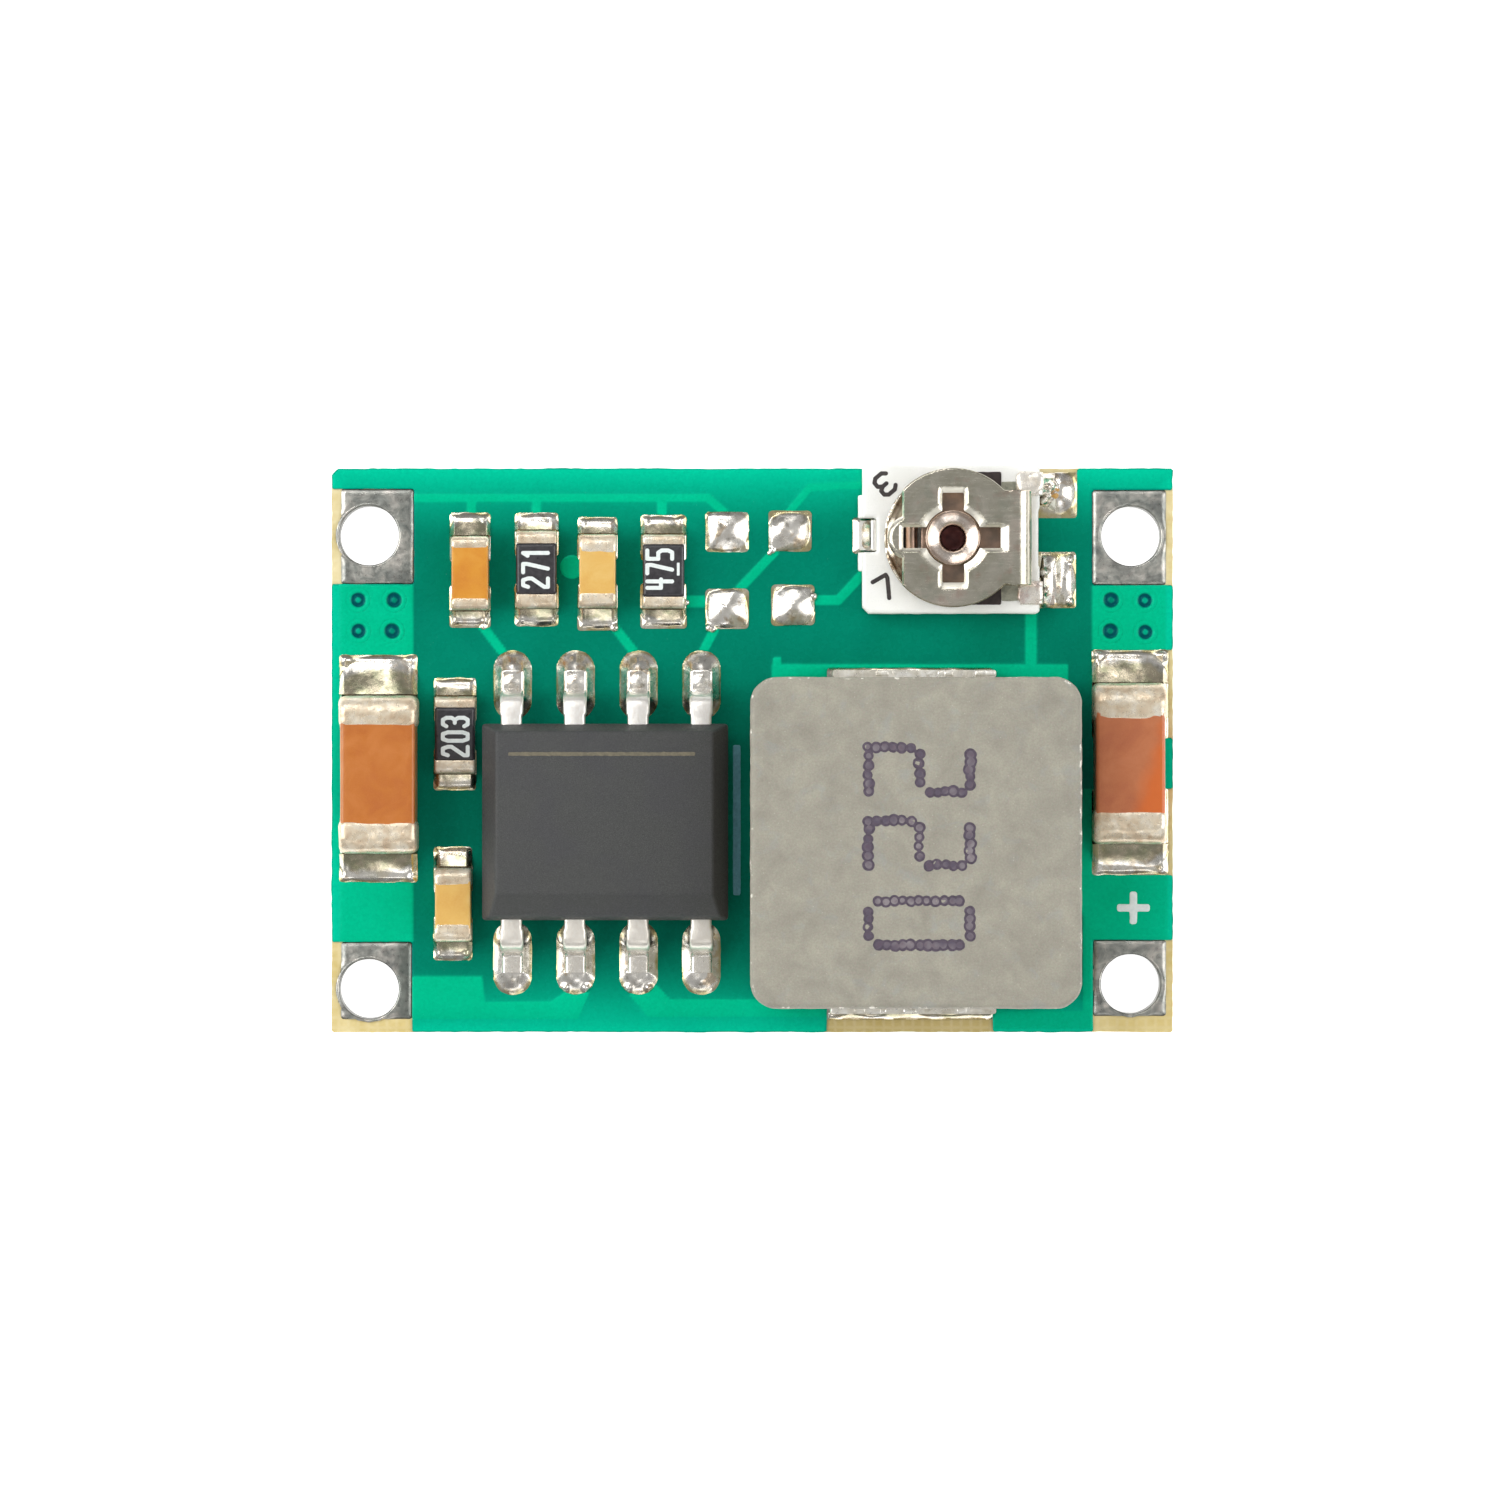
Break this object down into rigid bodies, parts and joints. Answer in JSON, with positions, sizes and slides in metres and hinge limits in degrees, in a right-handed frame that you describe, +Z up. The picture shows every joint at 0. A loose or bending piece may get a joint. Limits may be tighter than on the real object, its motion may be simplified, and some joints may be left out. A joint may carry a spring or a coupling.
{
  "type": "buck converter module",
  "caption": "Small step-down converter board with a regulator, a square power inductor, chip capacitors and resistors, an open trimmer and plated corner holes.",
  "frame": {"origin": "centre of the board's underside", "axes": "+X from the input terminals to the output terminals, +Y towards the edge with the trimmer, +Z up through the components"},
  "size_m": [0.017, 0.0115, 0.0038],
  "materials": {
    "alumina": "fired alumina",
    "black_glaze": "black overglaze",
    "bond_wire": "gold wire",
    "ceramic_amber": "fired, satin",
    "ceramic_brown": "fired, satin",
    "ceramic_orange": "fired, satin",
    "ceramic_tan": "fired, satin",
    "copper": "etched copper",
    "enamelled_wire": "enamelled flat copper wire",
    "glass_epoxy": "glass-epoxy laminate, raw sawn edge",
    "green_coating": "semi-gloss green solder mask",
    "moulding_compound": "moulded, fine matt texture",
    "plated_ends": "matt tin over fired metal",
    "pressed_powder": "pressed metal powder, grey-beige coating",
    "resistive_film": "fired resistive film",
    "rotor_steel": "nickel-plated spring sheet",
    "silicon": "polished die",
    "silver_film": "fired silver film",
    "solder": "reflowed solder, glossy",
    "tinned_leads": "matt tin plate",
    "tinned_pad": "hot-levelled tin",
    "via_plating": "plated copper",
    "white_ceramic": "fired alumina, satin",
    "white_ink": "printed ink"
  },
  "bodies": {
    "module": {"chip_capacitor_1_body": "ceramic_amber", "chip_capacitor_1_ends": "plated_ends", "chip_capacitor_2_body": "ceramic_tan", "chip_capacitor_2_ends": "plated_ends", "chip_capacitor_3_body": "ceramic_tan", "chip_capacitor_3_ends": "plated_ends", "chip_resistor_1_base": "alumina", "chip_resistor_1_element": "black_glaze", "chip_resistor_1_ends": "plated_ends", "chip_resistor_2_base": "alumina", "chip_resistor_2_element": "black_glaze", "chip_resistor_2_ends": "plated_ends", "chip_resistor_3_base": "alumina", "chip_resistor_3_element": "black_glaze", "chip_resistor_3_ends": "plated_ends", "copper_bottom": "copper", "copper_top": "copper", "inductor_coil": "enamelled_wire", "inductor_core": "pressed_powder", "inductor_terminals": "tinned_leads", "input_capacitor_body": "ceramic_orange", "input_capacitor_ends": "plated_ends", "input_ground_terminal": "tinned_pad", "input_positive_terminal": "tinned_pad", "input_vias": "via_plating", "output_capacitor_body": "ceramic_brown", "output_capacitor_ends": "plated_ends", "output_ground_terminal": "tinned_pad", "output_positive_terminal": "tinned_pad", "output_vias": "via_plating", "pcb_laminate": "glass_epoxy", "polarity_mark": "white_ink", "regulator_body": "moulding_compound", "regulator_bond_wires": "bond_wire", "regulator_die": "silicon", "regulator_die_pad": "copper", "regulator_leads": "tinned_leads", "signal_via": "via_plating", "solder_chip_parts": "solder", "solder_inductor": "solder", "solder_input_capacitor": "solder", "solder_mask_bottom": "green_coating", "solder_mask_top": "green_coating", "solder_output_capacitor": "solder", "solder_regulator": "solder", "solder_spare_pads": "solder", "solder_trimmer": "solder", "trimmer_base": "white_ceramic", "trimmer_electrodes": "silver_film", "trimmer_end_terminals": "tinned_leads", "trimmer_track": "resistive_film", "trimmer_wiper_terminal": "tinned_leads"},
    "trimmer_rotor": {"trimmer_rotor": "rotor_steel"}
  },
  "joints": [
    {"name": "trimmer_turn", "type": "hinge", "parent": "module", "child": "trimmer_rotor", "pos_m": [0.00402, 0.00426, 0.0018], "axis": [0, 0, 1], "range_deg": [-115, 115]}
  ]
}
